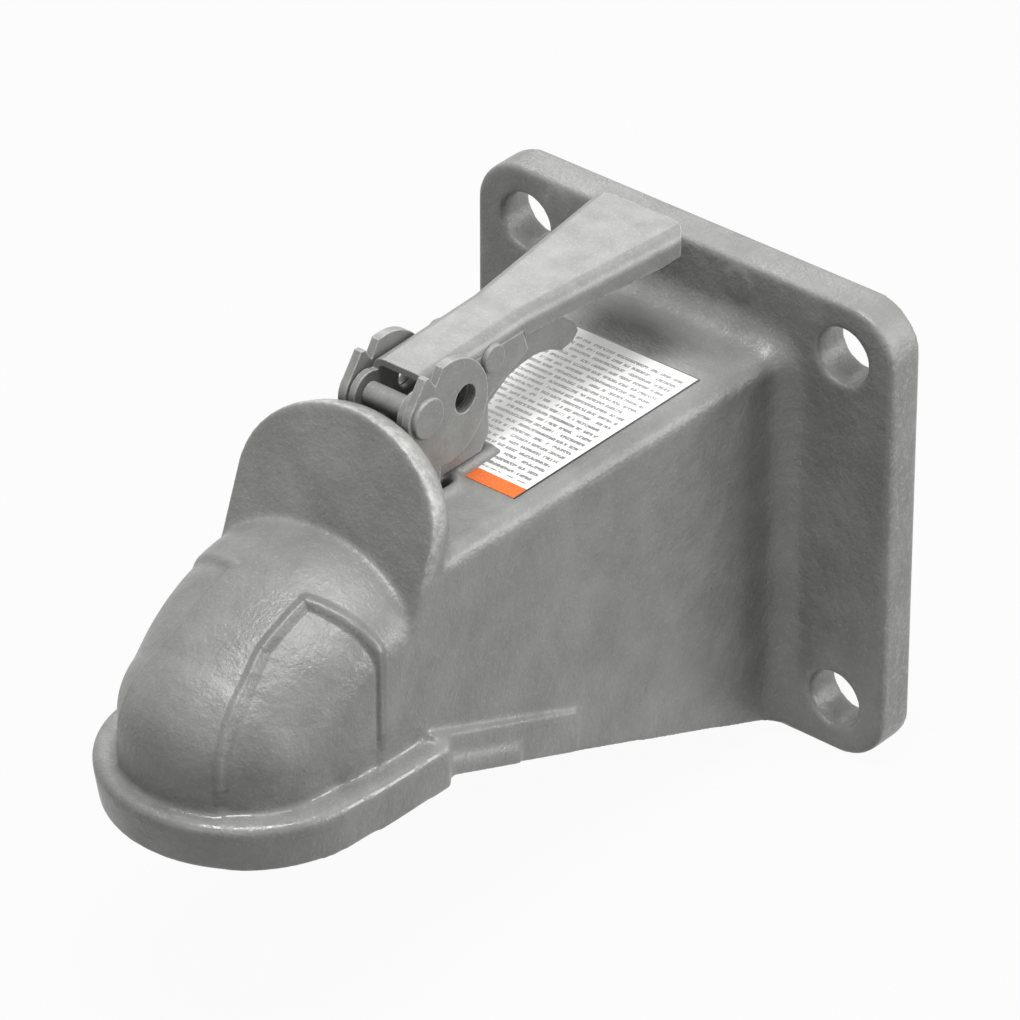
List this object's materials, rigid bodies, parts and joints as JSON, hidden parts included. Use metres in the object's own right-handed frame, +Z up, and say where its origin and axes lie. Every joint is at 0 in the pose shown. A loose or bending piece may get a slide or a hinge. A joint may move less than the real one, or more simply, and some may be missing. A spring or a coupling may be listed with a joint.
{
  "type": "trailer coupling head",
  "caption": "Cast flat mount trailer coupling head for a 2-5/16 inch ball, with latch lever, trigger and ball clamp.",
  "frame": {"origin": "centre of the rear mounting face, midway between the four bolt holes", "axes": "+Z up, -Y along the coupler towards the nose and the tow vehicle, +X to the side, to the right of someone who stands at the nose and looks back at the flange"},
  "size_m": [0.175, 0.2803, 0.1933],
  "materials": {
    "cast_paint": "satin grey paint over a sand casting",
    "sheet_paint": "satin grey paint over pressed sheet steel",
    "pin_steel": "turned steel, lightly oiled",
    "spring_steel": "dark drawn spring wire",
    "label_film": "printed vinyl film"
  },
  "bodies": {
    "casting": {"coupler_casting": "cast_paint", "top_label": "label_film"},
    "clamp": {"ball_clamp": "cast_paint", "link_plate_left": "sheet_paint", "link_plate_right": "sheet_paint", "link_pin": "pin_steel", "link_pin_clip": "spring_steel", "pivot_pin": "sheet_paint", "pivot_spacer": "sheet_paint", "clamp_spring": "spring_steel"},
    "lever": {"lever_channel": "sheet_paint", "cam_plate_left": "sheet_paint", "cam_plate_right": "sheet_paint", "trigger_pin": "sheet_paint", "trigger_spring": "spring_steel"},
    "trigger": {"trigger": "sheet_paint"}
  },
  "joints": [
    {"name": "clamp_slide", "type": "slide", "parent": "casting", "child": "clamp", "axis": [0, 0.7071, -0.7071], "range_m": [0, 0.0085], "deforming": ["clamp_spring"]},
    {"name": "lever_hinge", "type": "hinge", "parent": "clamp", "child": "lever", "pos_m": [0, -0.16, 0.0922], "axis": [1, 0, 0], "range_deg": [0, 88]},
    {"name": "trigger_hinge", "type": "hinge", "parent": "lever", "child": "trigger", "pos_m": [0, -0.1242, 0.0962], "axis": [1, 0, 0], "range_deg": [0, 12]}
  ],
  "couplings": [
    {"joint": "clamp_slide", "follows": "lever_hinge", "m_per_rad": 0.005534}
  ]
}
